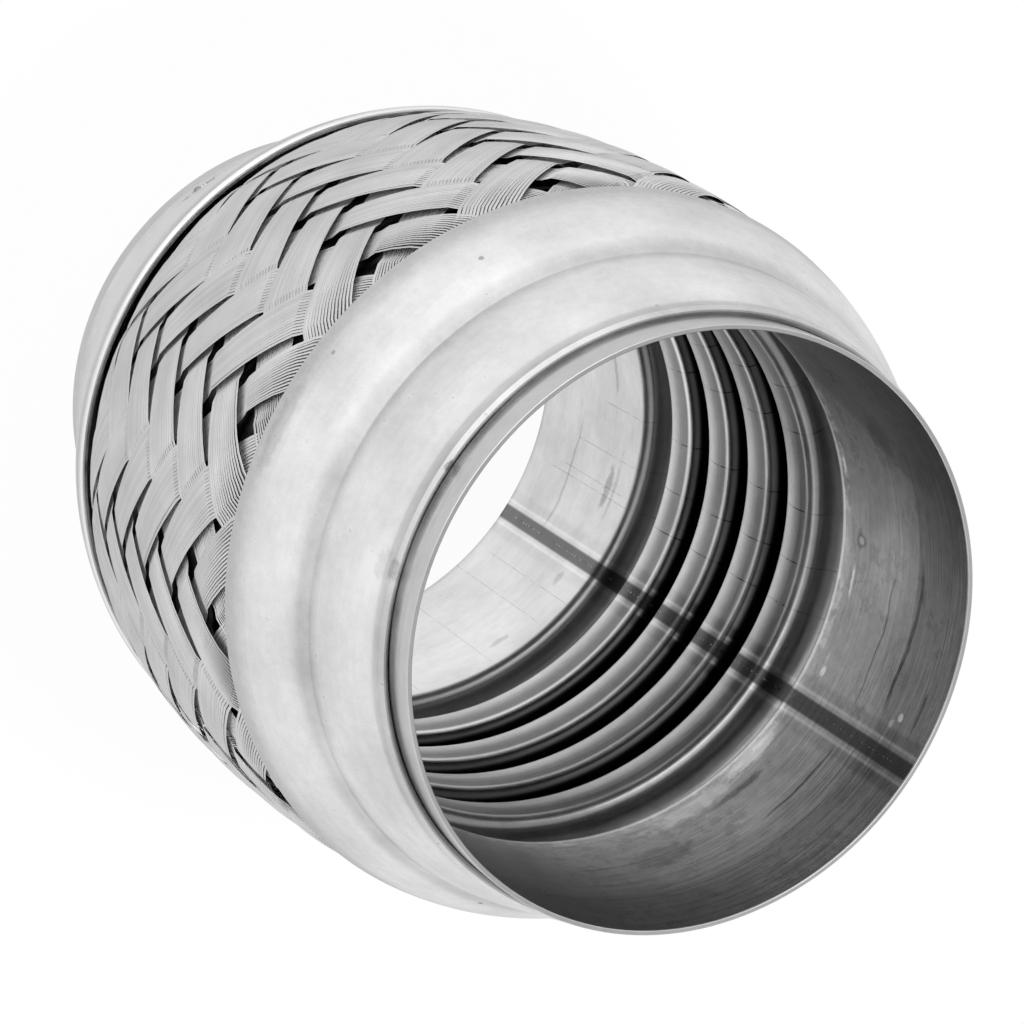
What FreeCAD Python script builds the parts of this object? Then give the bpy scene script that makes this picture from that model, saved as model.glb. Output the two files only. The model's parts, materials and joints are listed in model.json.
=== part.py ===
import FreeCAD, Part
import math
import os

import Mesh

# Exhaust flex pipe: a convoluted steel tube under a woven wire sleeve, held by a drawn collar at each end.
# It stands on one end, with the axis along +Z and the origin in the middle of the lower mouth. All sizes are in mm.

# Overall and tube
overall_length = 101.6
pipe_diameter = 63.5
slip_clearance = 0.5
tube_wall = 0.5
cuff_length = 26.0

# Convolutions of the tube, by radii on the middle of the wall
convolution_count = 5
convolution_height = 5.45
shoulder_radius = 1.1
flank_lean = 8.0
crest_radius = 2.0
end_crest_radius = 3.3

# Collars, with slopes to the axis in degrees. The rim of a collar hangs over the foot of the end convolution.
collar_wall = 1.0
neck_setback = 4.1
neck_seat = 1.9
neck_bend_radius = 1.5
band_start_slope = 22.0
band_end_slope = 8.0
groove_radius = 0.8
skirt_start_slope = 36.0
skirt_end_slope = 9.0
skirt_length = 11.6
rim_overhang = 1.8

# Braid. A ribbon goes over two others and under two, so the weave repeats after four columns of crossings.
# A row is one crossing high, and a half row is the step from one ring of crossings to the next.
weave_repeat = 4
ribbon_count = 24
row_count = 6
row_stretch = 0.157
braid_wall = 1.0
ridge_height = 0.35
ridge_border = 0.2
gap_share = 0.17
braid_end_distance = 9.8
braid_seat_length = 5.7
braid_seat_clearance = 0.05
braid_seat_wall = 0.8
braid_over_crests = 0.4
barrel_bow = 1.6
barrel_tuck = 2.4
tuck_power = 14
half_crossing_middle = 1 / 3
facet_joint = 0.001

# Sizes that follow
bore_radius = pipe_diameter / 2 + slip_clearance
cuff_radius = bore_radius + tube_wall
rim_distance = cuff_length + rim_overhang
groove_distance = rim_distance - skirt_length
braid_rim_radius = cuff_radius + convolution_height + braid_over_crests
middle_height = overall_length / 2
columns = 2 * ribbon_count
column_angle = 2 * math.pi / columns
half_rows = 2 * row_count

AXIS = FreeCAD.Vector(0, 0, 1)
ORIGIN = FreeCAD.Vector(0, 0, 0)


def sheet_outline(height, radius, moves, thickness):
    """Closed outline of a sheet that follows a path of runs and bends in the XZ plane.

    The path starts at a height and radius on the middle of the sheet and heads up the axis. A move is
    ("run", length) or ("bend", radius, degrees), where a positive bend turns away from the axis.
    """
    def normal(heading):
        return (-math.sin(heading), math.cos(heading))

    def point(z, r):
        return FreeCAD.Vector(r, 0, z)

    z, r, heading = height, radius, 0.0
    half = thickness / 2
    sides = {1: [], -1: []}
    for move in moves:
        nz, nr = normal(heading)
        if move[0] == "run":
            length = move[1]
            new_z = z + length * math.cos(heading)
            new_r = r + length * math.sin(heading)
            for s in sides:
                a = point(z + s * half * nz, r + s * half * nr)
                b = point(new_z + s * half * nz, new_r + s * half * nr)
                sides[s].append(Part.LineSegment(a, b).toShape())
            z, r = new_z, new_r
            continue
        bend_radius = move[1]
        turn = math.radians(move[2])
        way = 1 if turn > 0 else -1
        centre = (z + way * bend_radius * nz, r + way * bend_radius * nr)
        for s in sides:
            reach = bend_radius - way * s * half
            arc = []
            for share in (0.0, 0.5, 1.0):
                az, ar = normal(heading + share * turn)
                arc.append(point(centre[0] - way * reach * az, centre[1] - way * reach * ar))
            sides[s].append(Part.Arc(*arc).toShape())
        heading += turn
        nz, nr = normal(heading)
        z = centre[0] - way * bend_radius * nz
        r = centre[1] - way * bend_radius * nr
    start = [point(height, radius + s * half) for s in (1, -1)]
    nz, nr = normal(heading)
    end = [point(z + s * half * nz, r + s * half * nr) for s in (1, -1)]
    edges = sides[1] + sides[-1] + [Part.LineSegment(*start).toShape(), Part.LineSegment(*end).toShape()]
    return Part.Wire(Part.__sortEdges__(edges))


def spun_sheet(height, radius, moves, thickness):
    """Solid of revolution about the axis of a sheet that follows a path."""
    face = Part.Face(sheet_outline(height, radius, moves, thickness))
    return face.revolve(ORIGIN, AXIS, 360)


def convolution(crest):
    """Moves of one omega-shaped convolution and its length along the axis."""
    turn = 90 + flank_lean
    lean = math.radians(flank_lean)
    bulge = 1 + math.sin(lean)
    flank = (convolution_height - bulge * (shoulder_radius + crest)) / math.cos(lean)
    moves = [
        ("bend", shoulder_radius, turn),
        ("run", flank),
        ("bend", crest, -2 * turn),
        ("run", flank),
        ("bend", shoulder_radius, turn),
    ]
    length = 2 * (shoulder_radius + crest) * math.cos(lean) - 2 * flank * math.sin(lean)
    return moves, length


def bellows_tube():
    """Thin tube with a plain cuff at each end and a row of convolutions between them."""
    crests = []
    for i in range(convolution_count):
        at_an_end = i in (0, convolution_count - 1)
        crests.append(end_crest_radius if at_an_end else crest_radius)
    convoluted = sum(convolution(crest)[1] for crest in crests)
    root_land = (overall_length - 2 * cuff_length - convoluted) / (convolution_count - 1)
    moves = [("run", cuff_length)]
    for i, crest in enumerate(crests):
        if i > 0:
            moves.append(("run", root_land))
        moves += convolution(crest)[0]
    moves.append(("run", cuff_length))
    return spun_sheet(0, bore_radius + tube_wall / 2, moves, tube_wall)


def collar_moves():
    """Path of the collar from the end of its neck, over the band and the groove, to the rim of its skirt."""
    rise = [math.sin(math.radians(a)) for a in
            (band_start_slope, band_end_slope, skirt_start_slope, skirt_end_slope)]
    band_start = neck_setback + neck_seat + neck_bend_radius * rise[0]
    band_arc = (groove_distance - band_start) / (rise[0] - rise[1])
    skirt_start = groove_distance + groove_radius * (rise[2] - rise[1])
    skirt_arc = (rim_distance - skirt_start) / (rise[2] - rise[3])
    return [
        ("run", neck_seat),
        ("bend", neck_bend_radius, band_start_slope),
        ("bend", band_arc, band_end_slope - band_start_slope),
        ("bend", groove_radius, skirt_start_slope - band_end_slope),
        ("bend", skirt_arc, skirt_end_slope - skirt_start_slope),
    ]


def lower_collar():
    """Drawn bell of sheet that seats on the lower cuff and covers the end of the braid."""
    return spun_sheet(neck_setback, cuff_radius + collar_wall / 2, collar_moves(), collar_wall)


def upper_collar():
    """The same collar turned end over end on the upper cuff."""
    collar = lower_collar()
    collar.rotate(FreeCAD.Vector(0, 0, middle_height), FreeCAD.Vector(1, 0, 0), 180)
    return collar


def ring(radius, z):
    """Points round the braid, one for each column of its lattice."""
    return [(radius * math.cos(c * column_angle), radius * math.sin(c * column_angle), z)
            for c in range(columns)]


def barrel_radius(z):
    """Radius of the ridges of the braid, which bows out and tucks in sharply at the rims of the collars."""
    share = abs(z - middle_height) / (middle_height - rim_distance)
    swell = barrel_bow * (1 - share ** 2) + barrel_tuck * (1 - share ** tuck_power)
    return braid_rim_radius + swell


def row_height(row):
    """Height of a half row of the braid. The rows lie a little wider towards the upper end."""
    from_top = 1 - row / half_rows
    from_top += row_stretch * from_top * (1 - from_top)
    return overall_length - rim_distance - (overall_length - 2 * rim_distance) * from_top


def woven_point(column, row, depth):
    """Point of the braid by column and half row, at a depth under the ridges."""
    z = row_height(row)
    r = barrel_radius(z) - depth
    return (r * math.cos(column * column_angle), r * math.sin(column * column_angle), z)


def between(a, b, share):
    return (a[0] + (b[0] - a[0]) * share, a[1] + (b[1] - a[1]) * share)


def gap_is_open(column, row):
    """Gaps stay open beside the columns where the floats meet in a V, above the lowest row."""
    return column % weave_repeat in (1, 2) and 1 < row < half_rows


def crossing_faces(column, row):
    """Facets of one crossing: a ridge outside that runs on into the other half of its float, plain inside.

    The ribbon on top falls to the right in the columns 0 and 1 of every four and rises in 2 and 3.
    """
    left, right = (column - 1, row), (column + 1, row)
    top, bottom = (column, row + 1), (column, row - 1)
    float_sides = [{right, bottom}, {top, left}, {top, right}, {left, bottom}]
    float_side = float_sides[column % weave_repeat]
    corners = [left, bottom, right, top]
    centre = (column, row)
    if row == 0:
        corners[1] = (column, row)
        centre = (column, row + half_crossing_middle)
    if row == half_rows:
        corners[3] = (column, row)
        centre = (column, row - half_crossing_middle)
    edge = []
    for k, corner in enumerate(corners):
        before = corners[k - 1]
        after = corners[(k + 1) % len(corners)]
        if gap_is_open(*corner):
            edge.append((between(corner, before, gap_share), ridge_height))
            edge.append((between(corner, after, gap_share), ridge_height))
        else:
            edge.append((corner, ridge_height))
        if {corner, after} == float_side:
            edge.append((between(corner, after, gap_share + ridge_border), 0))
            edge.append((between(after, corner, gap_share + ridge_border), 0))
    low = [woven_point(*spot, depth) for spot, depth in edge]
    high = [woven_point(*(between(spot, centre, ridge_border) if depth else spot), 0) for spot, depth in edge]
    inner = [woven_point(*spot, braid_wall) for spot, depth in edge]
    middle = woven_point(*centre, 0)
    facets = []
    for k, (spot, depth) in enumerate(edge):
        n = (k + 1) % len(edge)
        if edge[n][1]:
            facets.append((low[k], low[n], high[n]))
        if depth:
            facets.append((low[k], high[n], high[k]))
        facets.append((middle, high[k], high[n]))
        if 0 < k < len(edge) - 1:
            facets.append((inner[0], inner[n], inner[k]))
    return facets


def gap_faces(column, row):
    """Facets of the four walls of the gap between four ribbons."""
    around = [between((column, row), (column + dc, row + dr), gap_share)
              for dc, dr in ((-1, -1), (1, -1), (1, 1), (-1, 1))]
    facets = []
    for k in range(4):
        a, b = around[k], around[(k + 1) % 4]
        outer_a, outer_b = woven_point(*a, ridge_height), woven_point(*b, ridge_height)
        inner_a, inner_b = woven_point(*a, braid_wall), woven_point(*b, braid_wall)
        facets.append((outer_a, outer_b, inner_b))
        facets.append((outer_a, inner_b, inner_a))
    return facets


def tucked_end_faces(row, mouth, inward):
    """Facets of the plain end of the braid, from a rim of the sleeve to its seat on the cuff."""
    inner_seat = (cuff_radius + braid_seat_clearance) / math.cos(column_angle / 2)
    outer_seat = inner_seat + braid_seat_wall
    end = mouth + inward * braid_end_distance
    seat = end + inward * braid_seat_length
    rings = [
        [woven_point(c, row, braid_wall) for c in range(columns)],
        ring(inner_seat, seat),
        ring(inner_seat, end),
        ring(outer_seat, end),
        ring(outer_seat, seat),
        [woven_point(c, row, ridge_height) for c in range(columns)],
    ]
    facets = []
    for first, second in zip(rings[::inward], rings[::inward][1:]):
        for c in range(columns):
            n = (c + 1) % columns
            facets.append((first[c], first[n], second[n]))
            facets.append((first[c], second[n], second[c]))
    return facets


def wire_braid():
    """Barrelled sleeve of a two-over two-under braid: a ridge for each float and gaps between the ribbons."""
    facets = []
    for row in range(half_rows + 1):
        for column in range(columns):
            if (column + row) % 2 == 0:
                facets += crossing_faces(column, row)
            elif gap_is_open(column, row):
                facets += gap_faces(column, row)
    facets += tucked_end_faces(0, 0, 1)
    facets += tucked_end_faces(half_rows, overall_length, -1)
    skin = Part.Shape()
    skin.makeShapeFromMesh(Mesh.Mesh(facets).Topology, facet_joint)
    return Part.makeSolid(skin)


os.makedirs("parts", exist_ok=True)
pieces = {
    "bellows_tube": bellows_tube(),
    "wire_braid": wire_braid(),
    "lower_collar": lower_collar(),
    "upper_collar": upper_collar(),
}
for name, shape in pieces.items():
    shape.exportStep("parts/" + name + ".step")
    print(name, "valid", shape.isValid(), "volume", round(shape.Volume, 1))
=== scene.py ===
import json
import math

import bmesh
import bpy
import numpy as np
from mathutils import Matrix, Vector


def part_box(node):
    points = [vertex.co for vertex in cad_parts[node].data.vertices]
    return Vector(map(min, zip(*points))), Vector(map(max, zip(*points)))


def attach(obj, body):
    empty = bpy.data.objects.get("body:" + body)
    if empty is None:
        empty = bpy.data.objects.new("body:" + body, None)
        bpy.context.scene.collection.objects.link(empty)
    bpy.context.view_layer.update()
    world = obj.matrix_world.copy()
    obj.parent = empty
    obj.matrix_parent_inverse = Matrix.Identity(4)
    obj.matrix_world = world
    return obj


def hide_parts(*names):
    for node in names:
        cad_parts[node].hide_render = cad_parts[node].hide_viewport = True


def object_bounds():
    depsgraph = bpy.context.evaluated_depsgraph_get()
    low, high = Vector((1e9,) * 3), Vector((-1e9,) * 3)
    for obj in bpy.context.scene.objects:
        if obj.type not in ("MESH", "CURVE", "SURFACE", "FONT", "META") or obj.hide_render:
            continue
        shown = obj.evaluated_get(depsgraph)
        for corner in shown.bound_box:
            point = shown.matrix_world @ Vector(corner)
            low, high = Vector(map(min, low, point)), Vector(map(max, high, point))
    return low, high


# Looks of an exhaust flex pipe: a convoluted tube, two drawn collars and a braid of fine wires, all of bright
# steel. Lengths and heights are in millimetres until a mesh is made of them, and angles are in degrees round
# the axis. The pipe stands on its lower mouth.
MM = 0.001

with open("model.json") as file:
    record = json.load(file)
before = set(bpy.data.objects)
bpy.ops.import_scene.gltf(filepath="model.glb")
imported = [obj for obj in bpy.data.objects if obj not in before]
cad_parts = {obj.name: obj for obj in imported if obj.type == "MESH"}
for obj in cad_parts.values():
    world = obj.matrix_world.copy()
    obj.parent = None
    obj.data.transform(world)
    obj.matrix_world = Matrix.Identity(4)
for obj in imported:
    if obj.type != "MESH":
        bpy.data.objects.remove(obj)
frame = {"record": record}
cad_low, cad_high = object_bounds()
record = frame["record"]

# From the frame
overall_length = (cad_high[2] - cad_low[2]) / MM
bore_radius = record["mounts"][0]["dims"]["r_mm"]
collar_low, collar_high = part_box("lower_collar")
neck_setback = collar_low[2] / MM
rim_distance = collar_high[2] / MM
cuff_length = record["mounts"][0]["dims"]["length_mm"]
middle_height = overall_length / 2
half_folds = middle_height - cuff_length

# Meshes: the longest piece of a section and the most that one turns, facets round the axis, and the least
# angle between faces that shows as an edge
path_step = 0.8
bend_step = 12
tube_facets = 160
collar_facets = 256
sharp_angle = 40

# Tube. Its bends are measured on the middle of the wall, cuff_radius on the outside.
tube_wall = 0.5
tube_edge = 0.06
cuff_radius = bore_radius + tube_wall
convolution_count = 5
convolution_height = 5.45
shoulder_radius = 1.1
flank_lean = 8.0
crest_radius = 2.0
end_crest_radius = 3.3
land_crown = 0.3
land_crown_reach = 0.5
end_fold_width = 7.0
wave_scale = 0.6
wave_inset = 0.12

# Collars. Their bends are measured on the middle of the wall, from the end of the neck to the rim.
collar_wall = 1.0
collar_edge = 0.4
neck_seat = 1.9
neck_bend_radius = 1.5
band_start_slope = 22.0
band_end_slope = 8.0
skirt_length = 11.6
groove_distance = rim_distance - skirt_length
groove_radius = 0.8
skirt_start_slope = 36.0
skirt_end_slope = 9.0

# Braid. Its rows and columns are counted in crossings, from the lower rim and round the axis.
ribbon_count = 24
row_count = 6
row_stretch = 0.157
lower_row_pitch = 3.3
upper_row_pitch = 4.4
ribbon_width = 5.9
weave_repeat = 4
crotch_column = 1.5
crotch_reach = 1.9
crotch_pinch = 0.29
wires_in_ribbon = 15
wire_top = 0.020
wire_flank = 0.020
wire_overlap = 1.12
wire_crown_share = 0.92
wire_drift = 0.002
edge_wire_drift = 0.03
ribbon_wander = 0.05
float_height = 0.33
float_edge = 0.55
ribbon_crown = 0.07
braid_over_crests = 0.4
barrel_bow = 1.6
barrel_tuck = 2.4
tuck_power = 14
braid_cut_distance = 24.5
braid_seat_distance = 15.5
braid_seat_radius = 34.0
column_angle = 360 / (2 * ribbon_count)
half_rows = 2 * row_count
# Places along a wire in each crossing, and its section: shares of its half width, and heights over its line
stations = np.array([-0.42, -0.14, 0.14, 0.42])
wire_section = ((1, -wire_flank), (wire_crown_share, wire_top / 4), (0, wire_top),
                (-wire_crown_share, wire_top / 4), (-1, -wire_flank))

# Seam of the tube, an angle round the axis. The weld's heat leaves a dark band with a pale fringe and a faint
# halo, all at angles from the seam.
seam_angle = 184.3
bead_spacing = 0.75
heat_half_width = 1.4
heat_fringe_angle = 2.9
heat_halo_angle = 4.4

# Marks and painted light on the tube, by angles from the seam and depths below the upper mouth: the part of
# the lip in painted shadow and the angle from which it widens, the bright lines of painted highlight that end
# the cuff, a dark line of painted shade outside under the neck, and, by depths below the middle, where the
# far folds start and their painted shade deepens
lip_shade_depth = 9.5
lip_shade_angle = 54
lip_shade_slope = 0.85
cuff_highlight_depth = 25.2
cuff_end_highlight_depth = 25.95
neck_crevice_shade_depth = 3.7
far_fold_depths = (15, 17)
# A crease has two angles, a depth and half its width, a blot an angle, a depth, half its width in degrees,
# half its height and how much lighter it is, and a scratch an angle and the depths of its ends.
tube_creases = [
    (5, 40, 9.3, 0.22),
    (-25, -3, 13.5, 0.12),
    (5, 35, 15.0, 0.10),
    (0, 30, 90.7, 0.14),
]
tube_blots = [
    (35.7, 22.3, 2.4, 1.3, -0.16),
    (35.5, 22.2, 1.2, 0.7, 0.24),
    (26.6, 23.1, 3.6, 0.35, 0.35),
    (50.3, 24.9, 2.5, 0.35, 0.35),
    (7.6, 22.7, 1.3, 0.5, 0.30),
    (9.7, 23.0, 3.5, 0.4, 0.12),
    (8.0, 6.2, 1.0, 0.55, 0.50),
    (6.1, 7.2, 1.2, 0.6, 0.20),
    (10.4, 3.5, 5.5, 0.4, -0.16),
    (-22, 21.0, 9.0, 0.7, -0.14),
    (-31, 23.5, 14.0, 1.6, 0.20),
    (-14, 24.4, 9.0, 1.5, 0.30),
    (-24, 15.0, 7.0, 2.6, 0.08),
    (34, 15.0, 12.0, 5.0, 0.09),
    (62, 14.0, 8.0, 3.0, -0.10),
    (-44, 17.0, 9.0, 3.0, -0.10),
    (17, 80.6, 6.0, 1.0, -0.24),
    (17, 79.0, 9.0, 0.5, -0.14),
    (-26, 79.3, 3.0, 0.8, -0.20),
    (44, 81.9, 7.0, 0.6, -0.16),
    (-6, 80.6, 2.5, 0.8, -0.18),
]
tube_scratches = [
    (-62, 76, 101), (-49, 77, 101), (-31, 76, 99), (-17, 78, 101), (-10, 76, 98),
    (15, 27, 95), (17, 77, 92), (24, 27, 90), (35, 30, 84), (52, 28, 90), (63, 30, 80),
]

# Marks on the upper collar, an angle round the axis, a distance from the mouth, half the width in degrees,
# half the height and how much lighter, and the spatter on the neck of the lower collar
collar_blots = [
    (23.2, 6.0, 3.4, 2.0, -0.12),
    (23.4, 4.8, 2.2, 1.0, -0.14),
    (3.4, 3.9, 1.5, 0.5, -0.40),
    (-26.6, 21.3, 0.6, 0.3, -0.40),
    (-1.1, 24.6, 0.5, 0.3, -0.30),
    (12.0, 25.5, 9.0, 1.4, -0.09),
    (105.2, 17.7, 0.6, 0.3, -0.40),
]
spatter_angle = -16.5
spatter_height = 6.6
spatter_beads = 14
spatter_spread_angle = 2.4
spatter_spread_height = 0.35
largest_bead = 0.5
smaller_beads = (0.12, 0.32)

# Light: strength of the sky at the horizon, overhead and as the camera sees it, and a soft lamp in metres and
# watts
sky_horizon = 0.85
sky_zenith = 0.42
seen_sky = 0.985
lamp_place = (0.9, -0.35, 0.75)
lamp_size = 1.6
lamp_power = 5
# Floor: its grey, the share of its own glow that the camera sees near the pipe, and how far that goes
floor_size = 6.0
floor_grey = 0.93
floor_glow = 0.96
shadow_radius = 1.5 * bore_radius
shadow_fade = 15
# Share of white that reflections see on the floor, a painted glow: beside the pipe, where it is a painted
# shade, further away, and under its bore, where it is a painted light
floor_shaded_beside = 0.68
floor_away = 0.93
floor_lit_under_bore = 0.97
floor_change = (60, 230)

# View of the photograph
aim_point = Vector((-2.47, -0.43, 52.28)) * MM
camera_distance = 410.84 * MM
camera_azimuth = 4.5
camera_elevation = 59.30
camera_roll = 122.95
camera_lens = 126.56

dice = np.random.default_rng(7)


def arc_steps(angle, radius):
    """Number of pieces that an arc is cut into, so that each is short and turns little."""
    return max(2, math.ceil(abs(angle) / bend_step), math.ceil(math.radians(abs(angle)) * radius / path_step))


def sheet_path(height, radius, moves):
    """Points on the middle of a sheet that follows runs and bends, each with the normal that points outwards.

    Rows of the result are height, radius, and the height and radius parts of the normal.
    """
    z, r, heading = height, radius, 0.0
    rows = [(z, r, 0.0, 1.0)]
    for move in moves:
        if move[0] == "run":
            count = max(1, math.ceil(move[1] / path_step))
            for i in range(1, count + 1):
                along = move[1] * i / count
                rows.append((z + along * math.cos(heading), r + along * math.sin(heading),
                             -math.sin(heading), math.cos(heading)))
            z, r = rows[-1][:2]
            continue
        way = 1 if move[2] > 0 else -1
        centre_z = z - way * move[1] * math.sin(heading)
        centre_r = r + way * move[1] * math.cos(heading)
        count = arc_steps(move[2], move[1])
        for i in range(1, count + 1):
            turned = heading + math.radians(move[2]) * i / count
            normal_z, normal_r = -math.sin(turned), math.cos(turned)
            rows.append((centre_z - way * move[1] * normal_z, centre_r - way * move[1] * normal_r,
                         normal_z, normal_r))
        heading += math.radians(move[2])
        z, r = rows[-1][:2]
    return np.array(rows)


def mesh_object(name, points, faces, material):
    """Object from points in millimetres and faces, smooth apart from its sharp edges, riding on the part."""
    mesh = bpy.data.meshes.new(name)
    mesh.from_pydata((np.asarray(points) * MM).tolist(), [], faces)
    mesh.update()
    mesh.shade_smooth()
    mesh.set_sharp_from_angle(angle=math.radians(sharp_angle))
    mesh.materials.append(material)
    piece = bpy.data.objects.new(name, mesh)
    bpy.context.scene.collection.objects.link(piece)
    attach(piece, "root")
    return piece


def spun_sheet(path, wall, turns, edge, bend):
    """Points and faces of a sheet turned about the axis, with its two ends rounded over by a small edge.

    bend(turn, height, radius) says how far the sheet is pushed out along its normal, all of them as arrays.
    """
    half = wall / 2
    outer = path.copy()
    outer[:, 0] += half * path[:, 2]
    outer[:, 1] += half * path[:, 3]
    inner = path.copy()
    inner[:, 0] -= half * path[:, 2]
    inner[:, 1] -= half * path[:, 3]
    along = np.stack([path[:, 3], -path[:, 2]], 1)
    for side in (outer, inner):
        for end, inward in ((0, 1), (-1, -1)):
            side[end, :2] += inward * edge * along[end]
    caps = []
    for end, outward in ((-1, 1), (0, -1)):
        middle = path[end, :2]
        for sign in (1, -1):
            shift = sign * outward * (half - edge)
            caps.append(np.r_[middle + shift * path[end, 2:], path[end, 2:]])
    section = np.concatenate([outer, caps[:2], inner[::-1], caps[2:]])
    count = len(section)
    turn, height = np.meshgrid(np.radians(np.arange(0, 360, 360 / turns)), section[:, 0])
    radius = np.repeat(section[:, 1:2], turns, 1)
    push = bend(turn, height, radius)
    height = height + push * section[:, 2:3]
    radius = radius + push * section[:, 3:4]
    points = np.stack([radius * np.cos(turn), radius * np.sin(turn), height], 2).reshape(-1, 3)
    faces = []
    for i in range(count):
        low, high = i * turns, (i + 1) % count * turns
        for j in range(turns):
            k = (j + 1) % turns
            faces.append((low + j, low + k, high + k, high + j))
    return points, faces


def convolution(crest):
    """Moves of one omega-shaped convolution and its length along the axis."""
    turn = 90 + flank_lean
    lean = math.radians(flank_lean)
    bulge = 1 + math.sin(lean)
    flank = (convolution_height - bulge * (shoulder_radius + crest)) / math.cos(lean)
    moves = [
        ("bend", shoulder_radius, turn),
        ("run", flank),
        ("bend", crest, -2 * turn),
        ("run", flank),
        ("bend", shoulder_radius, turn),
    ]
    return moves, 2 * (shoulder_radius + crest) * math.cos(lean) - 2 * flank * math.sin(lean)


crests = [crest_radius] * convolution_count
crests[0] = crests[-1] = end_crest_radius
convoluted = sum(convolution(crest)[1] for crest in crests)
root_land = (overall_length - 2 * cuff_length - convoluted) / (convolution_count - 1)
fold_pitch = convolution(crest_radius)[1] + root_land


def tube_moves():
    """Path of the tube from mouth to mouth."""
    moves = [("run", cuff_length)]
    for i, crest in enumerate(crests):
        if i > 0:
            moves.append(("run", root_land))
        moves += convolution(crest)[0]
    moves.append(("run", cuff_length))
    return moves


def collar_moves():
    """Path of a collar from the end of its neck, over the band and the groove, to the rim of its skirt."""
    rise = [math.sin(math.radians(a)) for a in
            (band_start_slope, band_end_slope, skirt_start_slope, skirt_end_slope)]
    band_start = neck_setback + neck_seat + neck_bend_radius * rise[0]
    band_arc = (groove_distance - band_start) / (rise[0] - rise[1])
    skirt_start = groove_distance + groove_radius * (rise[2] - rise[1])
    skirt_arc = (rim_distance - skirt_start) / (rise[2] - rise[3])
    return [
        ("run", neck_seat),
        ("bend", neck_bend_radius, band_start_slope),
        ("bend", band_arc, band_end_slope - band_start_slope),
        ("bend", groove_radius, skirt_start_slope - band_end_slope),
        ("bend", skirt_arc, skirt_end_slope - skirt_start_slope),
    ]


collar_path = sheet_path(neck_setback, cuff_radius + collar_wall / 2, collar_moves())


class Field:
    """A number that varies over a surface, made of nodes, so that masks read as sums."""

    def __init__(self, tree, socket):
        self.tree = tree
        self.socket = socket

    def apply(self, operation, *others):
        node = self.tree.nodes.new("ShaderNodeMath")
        node.operation = operation
        for i, value in enumerate((self, *others)):
            if isinstance(value, Field):
                self.tree.links.new(value.socket, node.inputs[i])
            else:
                node.inputs[i].default_value = value
        return Field(self.tree, node.outputs[0])

    def __add__(self, other):
        return self.apply("ADD", other)

    def __sub__(self, other):
        return self.apply("SUBTRACT", other)

    def __mul__(self, other):
        return self.apply("MULTIPLY", other)

    def __truediv__(self, other):
        return self.apply("DIVIDE", other)

    def __rsub__(self, other):
        return self * -1 + other

    __rmul__ = __mul__

    def absolute(self):
        return self.apply("ABSOLUTE")

    def above(self, start, end):
        """0 up to start, 1 from end, smooth between them. It falls instead where end is the lower one."""
        node = self.tree.nodes.new("ShaderNodeMapRange")
        node.interpolation_type = "SMOOTHSTEP"
        rising = end > start
        limits = (start, end, 0, 1) if rising else (end, start, 1, 0)
        self.tree.links.new(self.socket, node.inputs["Value"])
        for name, value in zip(("From Min", "From Max", "To Min", "To Max"), limits):
            node.inputs[name].default_value = value
        return Field(self.tree, node.outputs["Result"])

    def near(self, centre, half, soft):
        """1 within half of the centre, and 0 from half plus soft."""
        return (self - centre).absolute().above(half + soft, half)


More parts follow.
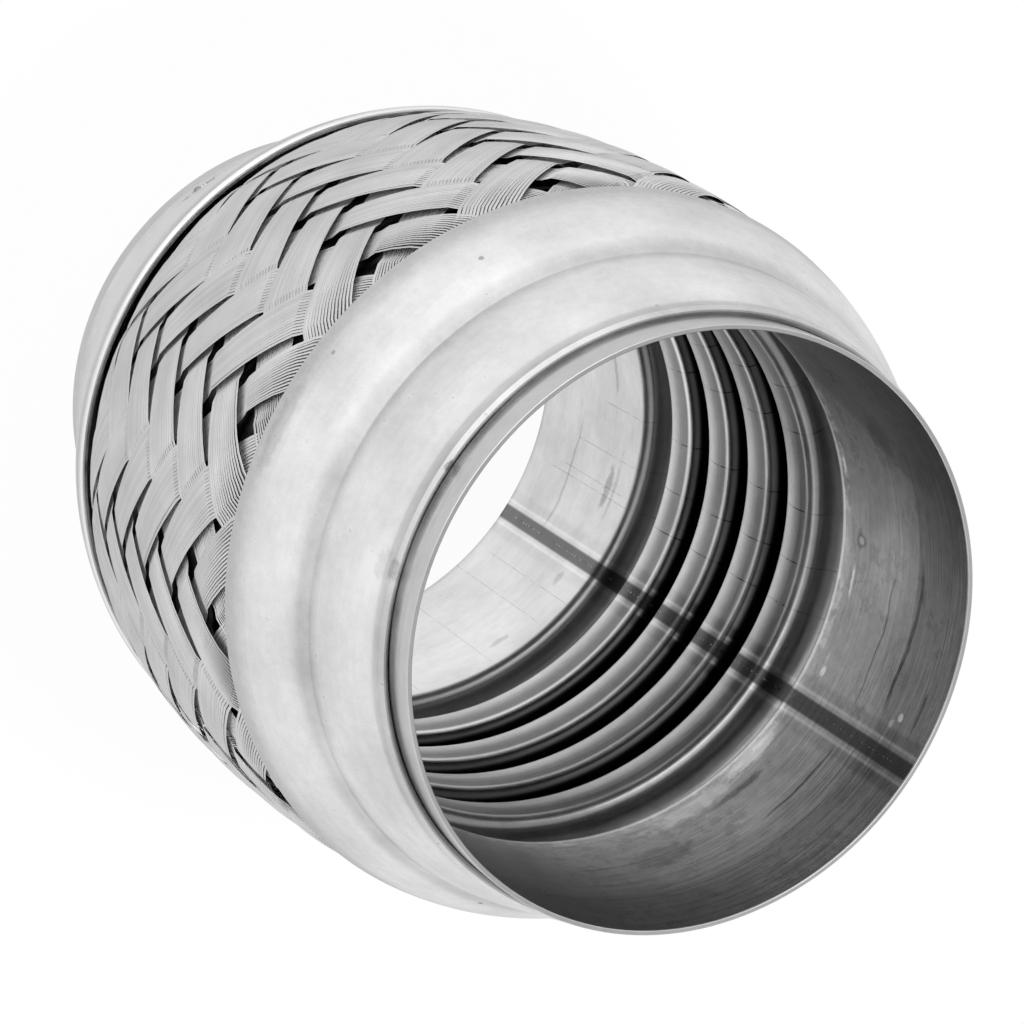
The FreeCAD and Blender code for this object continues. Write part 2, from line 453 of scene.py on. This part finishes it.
class Steel:
    """Material of one kind of steel, with the fields that its colour, roughness and relief are made from."""

    def __init__(self, name):
        self.material = bpy.data.materials.new(name)
        self.material.use_nodes = True
        self.tree = self.material.node_tree
        self.shader = self.tree.nodes["Principled BSDF"]
        self.shader.inputs["Metallic"].default_value = 1.0
        self.place = self.tree.nodes.new("ShaderNodeTexCoord").outputs["Object"]
        parts = self.tree.nodes.new("ShaderNodeSeparateXYZ")
        self.tree.links.new(self.place, parts.inputs[0])
        self.x, self.y, self.z = [Field(self.tree, parts.outputs[i]) / MM for i in range(3)]

    def angle_from(self, start):
        """Degrees round the axis from a start angle, between -180 and 180."""
        turn = math.radians(start)
        ahead = self.x * math.cos(turn) + self.y * math.sin(turn)
        aside = self.y * math.cos(turn) - self.x * math.sin(turn)
        return aside.apply("ARCTAN2", ahead) * math.degrees(1)

    def radius(self):
        """Distance from the axis."""
        return (self.x * self.x + self.y * self.y).apply("POWER", 0.5)

    def noise(self, around, along, detail, rough, seed):
        """Noise with that many waves per millimetre round the axis and along it, about 0.5."""
        mapping = self.tree.nodes.new("ShaderNodeMapping")
        mapping.inputs["Scale"].default_value = (around / MM, around / MM, along / MM)
        mapping.inputs["Location"].default_value = (seed, seed * 1.7, seed * 0.6)
        self.tree.links.new(self.place, mapping.inputs["Vector"])
        node = self.tree.nodes.new("ShaderNodeTexNoise")
        node.inputs["Scale"].default_value = 1.0
        node.inputs["Detail"].default_value = detail
        node.inputs["Roughness"].default_value = rough
        self.tree.links.new(mapping.outputs[0], node.inputs["Vector"])
        return Field(self.tree, node.outputs["Fac"])

    def blots(self, spots, angle, along, ragged):
        """Sum of soft spots, each by its angle, place along the axis, half its width and height, and shade.

        ragged is what their outlines stray by.
        """
        pair = self.tree.nodes.new("ShaderNodeCombineXYZ")
        self.tree.links.new(angle.socket, pair.inputs[0])
        self.tree.links.new(along.socket, pair.inputs[1])
        total = None
        for place, height, wide, tall, shade in spots:
            scaled = self.tree.nodes.new("ShaderNodeMapping")
            scaled.inputs["Scale"].default_value = (1 / wide, 1 / tall, 0)
            scaled.inputs["Location"].default_value = (-place / wide, -height / tall, 0)
            self.tree.links.new(pair.outputs[0], scaled.inputs["Vector"])
            length = self.tree.nodes.new("ShaderNodeVectorMath")
            length.operation = "LENGTH"
            self.tree.links.new(scaled.outputs[0], length.inputs[0])
            spot = (Field(self.tree, length.outputs["Value"]) + ragged).above(1.0, 0.5) * shade
            total = spot if total is None else total + spot
        return total

    def finish(self, tone, roughness, relief=None, relief_height=0.0):
        """Material of that grey tone and roughness, with a relief whose full height is in millimetres."""
        grey = self.tree.nodes.new("ShaderNodeCombineColor")
        for i in range(3):
            self.tree.links.new(tone.socket, grey.inputs[i])
        self.tree.links.new(grey.outputs[0], self.shader.inputs["Base Color"])
        self.tree.links.new(roughness.socket, self.shader.inputs["Roughness"])
        if relief:
            bump = self.tree.nodes.new("ShaderNodeBump")
            bump.inputs["Distance"].default_value = relief_height * MM
            self.tree.links.new(relief.socket, bump.inputs["Height"])
            self.tree.links.new(bump.outputs[0], self.shader.inputs["Normal"])
        return self.material


def tube_steel():
    """Thin rolled sheet with forming streaks, fine scratches, stains and a dark seam weld along one side.

    It is painted lighter towards the lower mouth, a painted light. The roots between the folds carry painted
    shade and a painted highlight from one side to the other, the folds carry painted shade that deepens with
    their depth, and the outside of the cuffs has a plainer skin.
    """
    steel = Steel("tube_steel")
    streaks = steel.noise(around=0.05, along=1.1, detail=3.0, rough=0.6, seed=3.1)
    clouds = steel.noise(around=0.09, along=0.12, detail=3.0, rough=0.55, seed=8.4)
    mottle = steel.noise(around=0.7, along=0.9, detail=3.0, rough=0.65, seed=6.0)
    grain = steel.noise(around=2.2, along=2.2, detail=2.0, rough=0.6, seed=1.3)
    angle = steel.angle_from(seam_angle)
    radius = steel.radius()
    depth = steel.z * -1 + overall_length
    above_middle = steel.z - middle_height
    from_middle = above_middle.absolute()
    folds = from_middle.above(half_folds + 0.6, half_folds - 0.6)
    outside = radius.above(bore_radius + 0.08, cuff_radius - 0.18) * (1 - folds)
    outside = outside.apply("MAXIMUM", depth.above(0.32, 0.18))
    fold_depth = radius.above(cuff_radius + 0.5, cuff_radius + 2.4) * folds
    middle_folds = from_middle.above(half_folds - 7.5, half_folds - 9)
    tone = streaks * 0.12 + clouds * 0.46 + mottle * 0.16 + grain * 0.05 - 0.04
    tone = tone - clouds.above(0.52, 0.60) * mottle.above(0.44, 0.56) * depth.above(34, 30) * 0.10
    # Painted light: the inside is painted lighter towards the lower mouth, standing in for light through that
    # open mouth.
    tone = tone + depth.above(8, 80) * 0.32 - 0.04
    tone = tone + angle.above(30, -30) * depth.above(70, 80) * 0.16
    near_fold = depth.above(cuff_length - 1, cuff_length + 1) * depth.above(cuff_length + 9, cuff_length + 7)
    tone = tone + near_fold * 0.07 - angle.above(30, 60) * depth.above(12, 24) * depth.above(27, 25.5) * 0.20
    # Painted shade and a painted highlight across each root between the folds, standing in for its
    # reflections, then painted shade in the gaps between the folds.
    from_land = ((above_middle / fold_pitch).apply("FRACT") - 0.5) * fold_pitch
    lands = from_middle.above(half_folds - 6.6, half_folds - 7.3)
    shade = from_land.above(-2.2, 1.2) * 0.66 - from_land.above(1.7, 2.3) * 1.30 - 0.06
    tone = tone * (1 - lands * shade * from_land.absolute().above(3.1, 2.9))
    tone = tone * (1 - middle_folds * from_land.absolute().above(2.5, 2.8) * 0.8)
    ragged = (mottle - 0.5) * 1.2
    # Each crease is not in the shape, only a dark line of painted shade.
    for start, end, deep, half in tube_creases:
        middle, reach = (start + end) / 2, abs(end - start) / 2
        line = (depth + (clouds - 0.5) * 3).near(deep, half, half)
        tone = tone - line * angle.near(middle, reach * 0.6, reach * 0.5) * 0.16
    tone = tone + steel.blots(tube_blots, angle, depth, ragged)
    for place, top, bottom in tube_scratches:
        strength = angle.near(place, 0.07, 0.10) * depth.near((top + bottom) / 2, (bottom - top) / 2, 2.0)
        tone = tone - strength * (mottle.above(0.35, 0.6)) * 0.20
    # Painted shadow over the cuff near the upper mouth, reaching deeper from lip_shade_angle on.
    lip_widening = (angle - lip_shade_angle).apply("MAXIMUM", 0) * lip_shade_slope
    lip_shadow_edge = lip_widening + (clouds - 0.5) * 5 + lip_shade_depth
    tone = tone * (1 - (lip_shadow_edge - depth).above(-1.0, 0.8) * 0.28)
    # Painted highlights: bright lines where the cuff ends in the first fold.
    tone = tone + depth.near(cuff_highlight_depth, 0.4, 0.6) * mottle.above(0.40, 0.62) * 0.16
    tone = tone + depth.near(cuff_end_highlight_depth, 0.12, 0.25) * 0.22
    heat = angle.near(0, heat_half_width, 0.7)
    from_seam = angle.absolute()
    tone = tone * (1 - 0.72 * heat) + from_seam.near(heat_fringe_angle, 0.15, 0.35) * 0.10
    tone = tone - from_seam.near(heat_halo_angle, 0.5, 1.4) * 0.06
    # Painted shade: the folds are painted darker with their depth, the far folds most.
    far_fold = (above_middle * -1).above(*far_fold_depths)
    tone = tone * (1 - fold_depth * (middle_folds * 0.45 + far_fold * 0.55))
    skin = clouds * 0.20 + mottle * 0.14 + 0.60
    # Painted shade: a dark line on the cuff's outside, in the crevice under the collar's neck.
    skin = skin - depth.near(neck_crevice_shade_depth, 0.3, 0.7) * clouds.above(0.30, 0.60) * 0.28
    tone = tone * (1 - outside) + skin * outside
    beads = angle.near(0, 0.10, 0.12) * (depth * (2 * math.pi / bead_spacing)).apply("SINE").above(0.5, 0.9)
    tone = tone + beads * mottle.above(0.45, 0.6) * (depth.above(25, 45) * 0.4 + 0.15)
    tone = tone.apply("MAXIMUM", 0.02)
    roughness = clouds * 0.20 + streaks * 0.1 + heat * 0.15 + 0.16
    relief = streaks * 0.5 + clouds * 0.5 + beads * 0.6
    return steel.finish(tone, roughness, relief, 0.10)


def collar_steel():
    """Drawn sheet with a satin skin, soft clouds of handling and faint tool lines round it."""
    steel = Steel("collar_steel")
    clouds = steel.noise(around=0.08, along=0.10, detail=3.0, rough=0.55, seed=4.2)
    lines = steel.noise(around=0.03, along=1.6, detail=3.0, rough=0.6, seed=9.0)
    grain = steel.noise(around=3.0, along=3.0, detail=2.0, rough=0.6, seed=5.5)
    mottle = steel.noise(around=0.9, along=0.9, detail=3.0, rough=0.7, seed=7.7)
    end_distance = middle_height - (steel.z - middle_height).absolute()
    groove = end_distance.near(groove_distance + 0.3, 0.2, 2.0)
    rim = end_distance.above(rim_distance - 4.5, rim_distance - 1)
    rim = rim * end_distance.above(rim_distance, rim_distance - 0.3)
    neck = end_distance.above(neck_setback + neck_seat + 1.2, neck_setback)
    tone = clouds * 0.56 + lines * 0.10 + mottle * 0.18 + grain * 0.08 + 0.39
    # Painted shade in the groove and at the neck. Towards the rim the collar is darker in clouds.
    tone = tone - groove * 0.20 - rim * clouds * 0.40 - neck * 0.12 - mottle.above(0.66, 0.74) * 0.20
    upper = steel.z.above(middle_height - 1, middle_height + 1)
    ragged = (mottle - 0.5) * 1.2
    tone = tone + steel.blots(collar_blots, steel.angle_from(0), end_distance, ragged) * upper
    spatter = steel.angle_from(spatter_angle).near(0, 3.5, 3) * steel.z.near(spatter_height, 0.5, 0.5)
    tone = tone - spatter * (1 - upper) * mottle.above(0.42, 0.56) * 0.55
    # Painted light: the lower collar is painted lighter than the upper, and the edge of each rim carries a
    # painted highlight.
    tone = tone + (1 - upper) * 0.12 + end_distance.above(rim_distance - 0.4, rim_distance - 0.2) * 0.2
    tone = tone.apply("MINIMUM", 0.97).apply("MAXIMUM", 0.05)
    roughness = clouds * 0.16 + grain * 0.10 + 0.26
    return steel.finish(tone, roughness)


def wire_steel():
    """Drawn wire, bright, each wire a little lighter or darker than the next."""
    steel = Steel("braid_wire")
    island = steel.tree.nodes.new("ShaderNodeNewGeometry").outputs["Random Per Island"]
    each = Field(steel.tree, island)
    clouds = steel.noise(around=0.15, along=0.15, detail=3.0, rough=0.5, seed=2.0)
    tone = each * 0.10 + clouds * 0.30 + 0.60
    roughness = each * 0.08 + 0.40
    return steel.finish(tone, roughness)


def tube_wobble(turn, height, radius):
    """How far the tube strays from round: a slight oval and shallow waves, most at the mouths.

    The flat roots between the folds also bulge a little towards the axis.
    """
    mouth = np.abs(height - middle_height) / middle_height
    wave = 0.10 * np.cos(2 * turn + 0.7) + 0.04 * np.sin(3 * turn + height * 0.11)
    wave = wave + 0.025 * np.sin(7 * turn - 1.0)
    land = np.mod(height - middle_height, fold_pitch) / fold_pitch * 2 - 1
    crown = np.cos(np.clip(land / land_crown_reach, -1, 1) * math.pi / 2) ** 2
    on_land = (np.abs(height - middle_height) < half_folds - end_fold_width) & (radius < cuff_radius + 0.6)
    return wave_scale * (wave - wave_inset) * mouth ** 4 - land_crown * crown * on_land


def bellows_tube(material):
    """The whole tube as one sheet."""
    path = sheet_path(0, bore_radius + tube_wall / 2, tube_moves())
    points, faces = spun_sheet(path, tube_wall, tube_facets, tube_edge, tube_wobble)
    piece = mesh_object("bellows_tube_sheet", points, faces, material)
    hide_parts("bellows_tube")


def collar(node, flipped, material):
    """A collar as one sheet, slightly oval, and upside down at the upper end."""
    def wobble(turn, height, radius):
        return 0.05 * np.sin(2 * turn + 1.3 + 2 * flipped) + 0.03 * np.sin(5 * turn + height * 0.2)

    points, faces = spun_sheet(collar_path, collar_wall, collar_facets, collar_edge, wobble)
    if flipped:
        points = points * (1, -1, -1) + (0, 0, overall_length)
    piece = mesh_object(node + "_sheet", points, faces, material)
    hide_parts(node)


def weld_spatter(material):
    """A few small beads of weld metal left on the neck of the lower collar."""
    beads = bmesh.new()
    for i in range(spatter_beads):
        size = largest_bead if i == 0 else dice.uniform(*smaller_beads)
        turn = math.radians(spatter_angle + (0 if i == 0 else dice.normal(0, spatter_spread_angle)))
        height = spatter_height + (0 if i == 0 else dice.normal(0, spatter_spread_height))
        radius = np.interp(height, collar_path[:, 0], collar_path[:, 1]) + collar_wall / 2
        centre = Vector((radius * math.cos(turn), radius * math.sin(turn), height))
        shape = Matrix.Diagonal((size, size * dice.uniform(0.9, 1.6), size * dice.uniform(0.7, 1.1), 1))
        place = Matrix.Translation(centre) @ Matrix.Rotation(turn, 4, "Z") @ shape
        bmesh.ops.create_icosphere(beads, subdivisions=2, radius=1, matrix=place)
    points = [tuple(v.co) for v in beads.verts]
    faces = [tuple(v.index for v in face.verts) for face in beads.faces]
    beads.free()
    mesh_object("weld_spatter", points, faces, material)


def row_height(row):
    """Height of a row of crossings, counted from the lower rim. Rows lie wider towards the upper end."""
    from_top = np.clip(1 - row / half_rows, 0, 1)
    stretched = from_top + row_stretch * from_top * (1 - from_top)
    span = overall_length - 2 * rim_distance
    below, over = np.minimum(row, 0), np.maximum(row - half_rows, 0)
    beyond = (below * (1 - row_stretch) + over * (1 + row_stretch)) / half_rows
    return overall_length - rim_distance - span * (stretched - beyond)


def braid_radius(z):
    """Radius of the tops of the floats: a barrel between the rims, and a cone from each rim to its seat."""
    from_end = middle_height - np.abs(z - middle_height)
    share = np.minimum(np.abs(z - middle_height) / (middle_height - rim_distance), 1)
    swell = barrel_bow * (1 - share ** 2) + barrel_tuck * (1 - share ** tuck_power)
    rim_radius = cuff_radius + convolution_height + braid_over_crests
    slope = (rim_radius - braid_seat_radius) / (rim_distance - braid_seat_distance)
    return rim_radius + swell - slope * np.maximum(rim_distance - from_end, 0)


def float_profile(place):
    """Height of a ribbon over the middle of the braid, from -1 to 1. It goes over two, then under two."""
    phase = np.mod(place + (weave_repeat / 2 - crotch_column), weave_repeat) / 2
    over = phase >= 1
    along = np.mod(phase, 1) * 2 - 1
    return np.where(over, 1, -1) * (float_edge + (1 - float_edge) * np.cos(along * math.pi / 2))


def ribbon_narrowing(column):
    """Width of a ribbon as a share of its widest. It is pinched near the columns where floats meet in a V."""
    shifted = np.mod(column - crotch_column + weave_repeat / 2, weave_repeat)
    from_crotch = np.abs(shifted - weave_repeat / 2)
    return 1 - crotch_pinch * np.clip(1 - from_crotch / crotch_reach, 0, 1)


def ribbon_wires(rising, number):
    """Points and faces of the wires of one ribbon, each a low ridge with a flat underside.

    Places are counted in crossings along the ribbon. Where a rising ribbon is over, a falling one is under.
    """
    row_start = -(rim_distance - braid_cut_distance) / lower_row_pitch
    row_end = half_rows + (rim_distance - braid_cut_distance) / upper_row_pitch
    first = 2 * number + (row_start if rising else -row_end)
    last = 2 * number + (row_end if rising else -row_start)
    places = (np.arange(math.floor(first), math.ceil(last) + 1)[:, None] + stations).ravel()
    places = places[(places >= first) & (places <= last)]
    row_middle = places - 2 * number if rising else 2 * number - places
    height = float_profile(places if rising else places + weave_repeat / 2)
    narrowing = ribbon_narrowing(places)
    z_middle = row_height(row_middle)
    z_above, z_below = row_height(row_middle + 0.5), row_height(row_middle - 0.5)
    pitch_up = np.hypot(z_above - z_below, braid_radius(z_above) - braid_radius(z_below))
    pitch_round = math.radians(column_angle) * braid_radius(z_middle)
    half_spacing = pitch_round * pitch_up / np.hypot(pitch_round, pitch_up)
    half_share = ribbon_width / 2 / half_spacing * narrowing
    wander = ribbon_wander * np.sin(places * 0.9 + dice.uniform(0, 6)) * dice.uniform(0.3, 1)
    wire_width = ribbon_width / wires_in_ribbon
    points, faces = [], []
    for wire in range(wires_in_ribbon):
        side = (2 * wire + 1) / wires_in_ribbon - 1
        drift = wire_drift * np.sin(places * dice.uniform(0.5, 1.3) + dice.uniform(0, 6))
        if wire in (0, wires_in_ribbon - 1):
            drift = drift + np.sign(side) * edge_wire_drift * np.sin(places * 0.7 + dice.uniform(0, 6))
        offset = side * half_share + wander + drift
        column = places + offset / 2
        row = row_middle + (-offset / 2 if rising else offset / 2)
        z = row_height(row)
        crown = ribbon_crown * side ** 2 * (height > 0)
        r = braid_radius(z) - float_height - wire_top + float_height * height - crown
        turn = np.radians(column * column_angle)
        line = np.stack([r * np.cos(turn), r * np.sin(turn), z], 1)
        tangent = np.gradient(line, axis=0)
        tangent /= np.linalg.norm(tangent, axis=1)[:, None]
        radial = np.stack([np.cos(turn), np.sin(turn), 0 * turn], 1)
        across = np.cross(tangent, radial)
        across /= np.linalg.norm(across, axis=1)[:, None]
        outward = np.cross(across, tangent)
        start = sum(len(p) for p in points)
        half_width = (wire_overlap * wire_width / 2 * narrowing)[:, None]
        section = [line + across * half_width * share + outward * lift for share, lift in wire_section]
        sides = len(section)
        points.append(np.stack(section, 1).reshape(-1, 3))
        for i in range(len(line) - 1):
            a = start + i * sides
            for j in range(sides):
                k = (j + 1) % sides
                faces.append((a + j, a + k, a + sides + k, a + sides + j))
        faces.append(tuple(start + j for j in reversed(range(sides))))
        faces.append(tuple(start + (len(line) - 1) * sides + j for j in range(sides)))
    return np.concatenate(points), faces


def braid_layer(name, rising, material):
    """All the ribbons that run one way."""
    points, faces, count = [], [], 0
    for number in range(ribbon_count):
        ribbon_points, ribbon_faces = ribbon_wires(rising, number)
        points.append(ribbon_points)
        faces += [tuple(count + i for i in face) for face in ribbon_faces]
        count += len(ribbon_points)
    return mesh_object(name, np.concatenate(points), faces, material)


def wire_braid():
    """Both layers of ribbons."""
    material = wire_steel()
    layers = [braid_layer("braid_rising_ribbons", True, material),
              braid_layer("braid_falling_ribbons", False, material)]
    for layer in layers:
        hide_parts("wire_braid")


def floor_white():
    """Floor that the camera sees as white, with a faint shadow close to the pipe.

    Reflections see it glow, with a painted shade that makes it greyer beside the pipe than further away, and
    a painted light that makes it white under the bore, where a free pipe would show the studio beyond its far
    mouth. All other rays meet a plain diffuse floor.
    """
    material = bpy.data.materials.new("floor_white")
    material.use_nodes = True
    tree = material.node_tree
    tree.nodes.clear()
    output = tree.nodes.new("ShaderNodeOutputMaterial")
    diffuse = tree.nodes.new("ShaderNodeBsdfDiffuse")
    diffuse.inputs["Color"].default_value = (floor_grey, floor_grey, floor_grey, 1)
    glow = tree.nodes.new("ShaderNodeEmission")
    glow.inputs["Color"].default_value = (1, 1, 1, 1)
    path = tree.nodes.new("ShaderNodeLightPath")
    spot = tree.nodes.new("ShaderNodeVectorMath")
    spot.operation = "LENGTH"
    tree.links.new(tree.nodes.new("ShaderNodeTexCoord").outputs["Object"], spot.inputs[0])
    from_axis = Field(tree, spot.outputs["Value"]) / MM
    # Painted light under the bore and painted shade beside the pipe, seen only by reflections.
    bore_light_mask = from_axis.above(bore_radius, 0.98 * bore_radius)
    glossy = from_axis.above(*floor_change) * (floor_away - floor_shaded_beside) + floor_shaded_beside
    glossy = glossy + bore_light_mask * (floor_lit_under_bore - floor_shaded_beside)
    mirrored = Field(tree, path.outputs["Is Glossy Ray"]).apply(
        "MAXIMUM", Field(tree, path.outputs["Is Transmission Ray"]))
    tree.links.new((mirrored * (glossy - 1) + 1).socket, glow.inputs["Strength"])
    share = 1 - from_axis.above(shadow_radius + shadow_fade, shadow_radius) * (1 - floor_glow)
    seen = (Field(tree, path.outputs["Is Camera Ray"]) * share).apply("MAXIMUM", mirrored)
    mix = tree.nodes.new("ShaderNodeMixShader")
    tree.links.new(seen.socket, mix.inputs[0])
    tree.links.new(diffuse.outputs[0], mix.inputs[1])
    tree.links.new(glow.outputs[0], mix.inputs[2])
    tree.links.new(mix.outputs[0], output.inputs["Surface"])
    return material


def floor():
    """Square floor through the origin."""
    mesh = bpy.data.meshes.new("floor")
    corners = [(x * floor_size, y * floor_size, 0) for x, y in ((-1, -1), (1, -1), (1, 1), (-1, 1))]
    mesh.from_pydata(corners, [], [(0, 1, 2, 3)])
    mesh.materials.append(floor_white())
    piece = bpy.data.objects.new("floor", mesh)
    bpy.context.scene.collection.objects.link(piece)


def key_lamp():
    """Square soft lamp that points at the pipe."""
    data = bpy.data.lights.new("key", "AREA")
    data.shape = "SQUARE"
    data.size = lamp_size
    data.energy = lamp_power
    lamp = bpy.data.objects.new("key", data)
    bpy.context.scene.collection.objects.link(lamp)
    lamp.location = lamp_place
    lamp.rotation_euler = (aim_point - Vector(lamp_place)).to_track_quat("-Z", "Y").to_euler()


def studio():
    """Pale sky that darkens overhead, seen as white by the camera, and one soft lamp."""
    world = bpy.data.worlds.new("studio")
    bpy.context.scene.world = world
    world.use_nodes = True
    tree = world.node_tree
    parts = tree.nodes.new("ShaderNodeSeparateXYZ")
    tree.links.new(tree.nodes.new("ShaderNodeTexCoord").outputs["Generated"], parts.inputs[0])
    up = Field(tree, parts.outputs[2])
    strength = up.above(0.25, 0.95) * (sky_zenith - sky_horizon) + sky_horizon
    on_camera = Field(tree, tree.nodes.new("ShaderNodeLightPath").outputs["Is Camera Ray"])
    strength = strength.apply("MAXIMUM", on_camera * seen_sky)
    background = tree.nodes["Background"]
    background.inputs["Color"].default_value = (1, 1, 1, 1)
    tree.links.new(strength.socket, background.inputs["Strength"])
    key_lamp()


def camera():
    """Camera at the photograph's view."""
    azimuth, elevation = math.radians(camera_azimuth), math.radians(camera_elevation)
    away = Vector((math.cos(elevation) * math.cos(azimuth), math.cos(elevation) * math.sin(azimuth),
                   math.sin(elevation)))
    data = bpy.data.cameras.new("camera")
    data.lens = camera_lens
    data.clip_start = 0.01
    piece = bpy.data.objects.new("camera", data)
    bpy.context.scene.collection.objects.link(piece)
    level = away.to_track_quat("Z", "Y").to_matrix()
    roll = Matrix.Rotation(math.radians(camera_roll), 3, "Z")
    piece.matrix_world = Matrix.Translation(aim_point + away * camera_distance) @ (level @ roll).to_4x4()
    bpy.context.scene.camera = piece


camera()
studio()
floor()
bellows_tube(tube_steel())
shared_collar_steel = collar_steel()
collar("lower_collar", False, shared_collar_steel)
collar("upper_collar", True, shared_collar_steel)
weld_spatter(shared_collar_steel)
wire_braid()

bpy.context.scene.view_settings.view_transform = "Standard"
